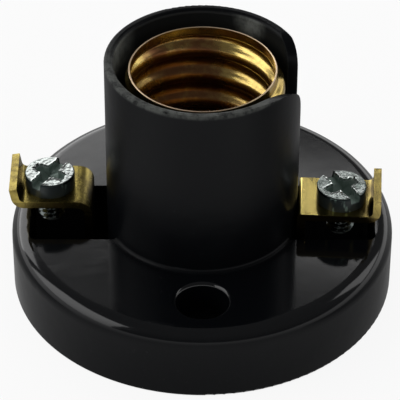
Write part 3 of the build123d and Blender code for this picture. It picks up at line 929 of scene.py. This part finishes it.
class LAMPHOLDER_OT_terminals(bpy.types.Operator):
    """Dress the two terminal strips, the left one aged and the right one bright"""

    bl_idname = "lampholder.terminals"
    bl_label = "Terminals"

    def execute(self, context):
        finish = context.scene.lampholder_finish
        aged = strip_brass("aged brass strip", finish.left_brass, finish.old_brass,
                           amount=0.30, roughness=0.17, cut_edge_shade=0.5, low_shade=0.97)
        bright = strip_brass("bright brass strip", finish.right_brass, finish.old_brass,
                             amount=0.08, roughness=0.10, cut_edge_shade=0.92, low_shade=0.97,
                             shade_spots=RIGHT_BEND_SHADE)
        dress(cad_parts["terminal_left"], aged)
        dress(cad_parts["terminal_right"], bright)
        return {"FINISHED"}


class LAMPHOLDER_OT_screws(bpy.types.Operator):
    """Make the driven, plated terminal screws, with their threads, in place of the plain solids"""

    bl_idname = "lampholder.screws"
    bl_label = "Terminal screws"

    def execute(self, context):
        finish = context.scene.lampholder_finish
        sizes = context.scene.lampholder_sizes
        for side, slot_angle, worn, seed in SCREWS:
            solid = "screw_" + side
            low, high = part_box(solid)
            centre = (low + high) / 2
            radius = (high.x - low.x) / 2
            seat = high.z - sizes.head_height
            mesh = screw_mesh(side + "_terminal_screw", sizes, radius, seat - low.z, seed)
            mesh.transform(Matrix.Translation((centre.x, centre.y, seat))
                           @ Matrix.Rotation(radians(slot_angle - 90), 4, "Z"))
            plating = zinc_plating(side + " screw zinc", finish, sizes, (centre.x, centre.y),
                                   high.z, radius, worn)
            screw = new_piece(context, mesh, plating, sharp_angle=35)
            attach(screw, side + "_screw")
            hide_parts(solid)
        return {"FINISHED"}


class LAMPHOLDER_OT_stage(bpy.types.Operator):
    """Set the floor, the lamps, the world and the camera"""

    bl_idname = "lampholder.stage"
    bl_label = "Stage"

    def execute(self, context):
        stage = context.scene.lampholder_stage
        self.floor(context, stage)
        self.world(context, stage)
        for softbox in SOFTBOXES:
            self.softbox(context, *softbox)
        self.camera(context)
        context.scene.view_settings.view_transform = "Standard"
        return {"FINISHED"}

    def floor(self, context, stage):
        """The plain floor that the holder stands on."""
        mesh = bpy.data.meshes.new("floor")
        shape = bmesh.new()
        bmesh.ops.create_grid(shape, x_segments=1, y_segments=1, size=stage.floor_size / 2)
        shape.to_mesh(mesh)
        shape.free()
        floor = bpy.data.objects.new("floor", mesh)
        floor.location.z = -FLOOR_DROP
        context.scene.collection.objects.link(floor)
        dress(floor, floor_material(stage))

    def world(self, context, stage):
        """White where it is seen, a pale backdrop and a dim ceiling where mirrored, else a fill."""
        world = bpy.data.worlds.new("studio")
        context.scene.world = world
        world.use_nodes = True
        tree = world.node_tree
        camera, mirror = rays(tree)
        height = parts(outputs(tree, node(tree, "ShaderNodeTexCoord"))["Generated"])["Z"]
        blur = radians(2)
        backdrop = height.ramp(sin(stage.backdrop_top + blur), sin(stage.backdrop_top - blur))
        mirrored = backdrop * (1 - stage.ceiling_strength) + stage.ceiling_strength
        shown = camera.most(mirror * mirrored)
        unseen = 1.0 - camera.most(mirror)
        background = tree.nodes["Background"].inputs
        feed(background["Color"], (1, 1, 1))
        feed(background["Strength"], shown + unseen * stage.fill_strength)
        arrange(tree)

    def softbox(self, context, name, azimuth, distance, width, low, high, strength):
        """An upright soft box that faces the holder. Strength is the brightness of its face."""
        turn = radians(azimuth)
        bottom, top = distance * tan(radians(low)), distance * tan(radians(high))
        wide, tall = 2 * distance * tan(radians(width / 2)), top - bottom
        data = bpy.data.lights.new(name, "AREA")
        data.shape = "RECTANGLE"
        data.size, data.size_y = wide, tall
        data.energy = strength * pi * wide * tall
        lamp = bpy.data.objects.new(name, data)
        outwards = Vector((sin(turn), cos(turn), 0)) * distance
        lamp.location = outwards + Vector((0, 0, (bottom + top) / 2))
        lamp.rotation_euler = (-outwards).to_track_quat("-Z", "Y").to_euler()
        context.scene.collection.objects.link(lamp)

    def camera(self, context):
        """The photograph's camera."""
        data = bpy.data.cameras.new("camera")
        data.lens = CAMERA_LENS
        data.sensor_width = CAMERA_SENSOR
        data.clip_start, data.clip_end = CAMERA_CLIP
        camera = bpy.data.objects.new("camera", data)
        turn = (CAMERA_AIM - CAMERA_EYE).to_track_quat("-Z", "Y").to_matrix().to_4x4()
        roll = Matrix.Rotation(CAMERA_ROLL, 4, "Z")
        camera.matrix_world = Matrix.Translation(CAMERA_EYE) @ turn @ roll
        context.scene.collection.objects.link(camera)
        context.scene.camera = camera


STEPS = (
    LAMPHOLDER_OT_moulding,
    LAMPHOLDER_OT_shell,
    LAMPHOLDER_OT_contact,
    LAMPHOLDER_OT_terminals,
    LAMPHOLDER_OT_screws,
    LAMPHOLDER_OT_stage,
)


class LAMPHOLDER_PT_panel(bpy.types.Panel):
    """The holder's finishes, sizes and steps"""

    bl_label = "Lamp holder"
    bl_idname = "LAMPHOLDER_PT_panel"
    bl_space_type = "VIEW_3D"
    bl_region_type = "UI"
    bl_category = "Lamp holder"

    def draw(self, context):
        for name in ("lampholder_finish", "lampholder_sizes", "lampholder_stage"):
            settings = getattr(context.scene, name)
            box = self.layout.box()
            for setting in settings.__annotations__:
                box.prop(settings, setting)
        for operator in STEPS:
            self.layout.operator(operator.bl_idname)


CLASSES = (LampHolderFinish, LampHolderSizes, LampHolderStage, *STEPS, LAMPHOLDER_PT_panel)


def register():
    for made in CLASSES:
        bpy.utils.register_class(made)
    bpy.types.Scene.lampholder_finish = bpy.props.PointerProperty(type=LampHolderFinish)
    bpy.types.Scene.lampholder_sizes = bpy.props.PointerProperty(type=LampHolderSizes)
    bpy.types.Scene.lampholder_stage = bpy.props.PointerProperty(type=LampHolderStage)


def unregister():
    del bpy.types.Scene.lampholder_stage
    del bpy.types.Scene.lampholder_sizes
    del bpy.types.Scene.lampholder_finish
    for made in reversed(CLASSES):
        bpy.utils.unregister_class(made)


def main():
    """Runs every step."""
    register()
    bpy.ops.lampholder.moulding()
    bpy.ops.lampholder.shell()
    bpy.ops.lampholder.contact()
    bpy.ops.lampholder.terminals()
    bpy.ops.lampholder.screws()
    bpy.ops.lampholder.stage()


if __name__ == "__main__":
    main()
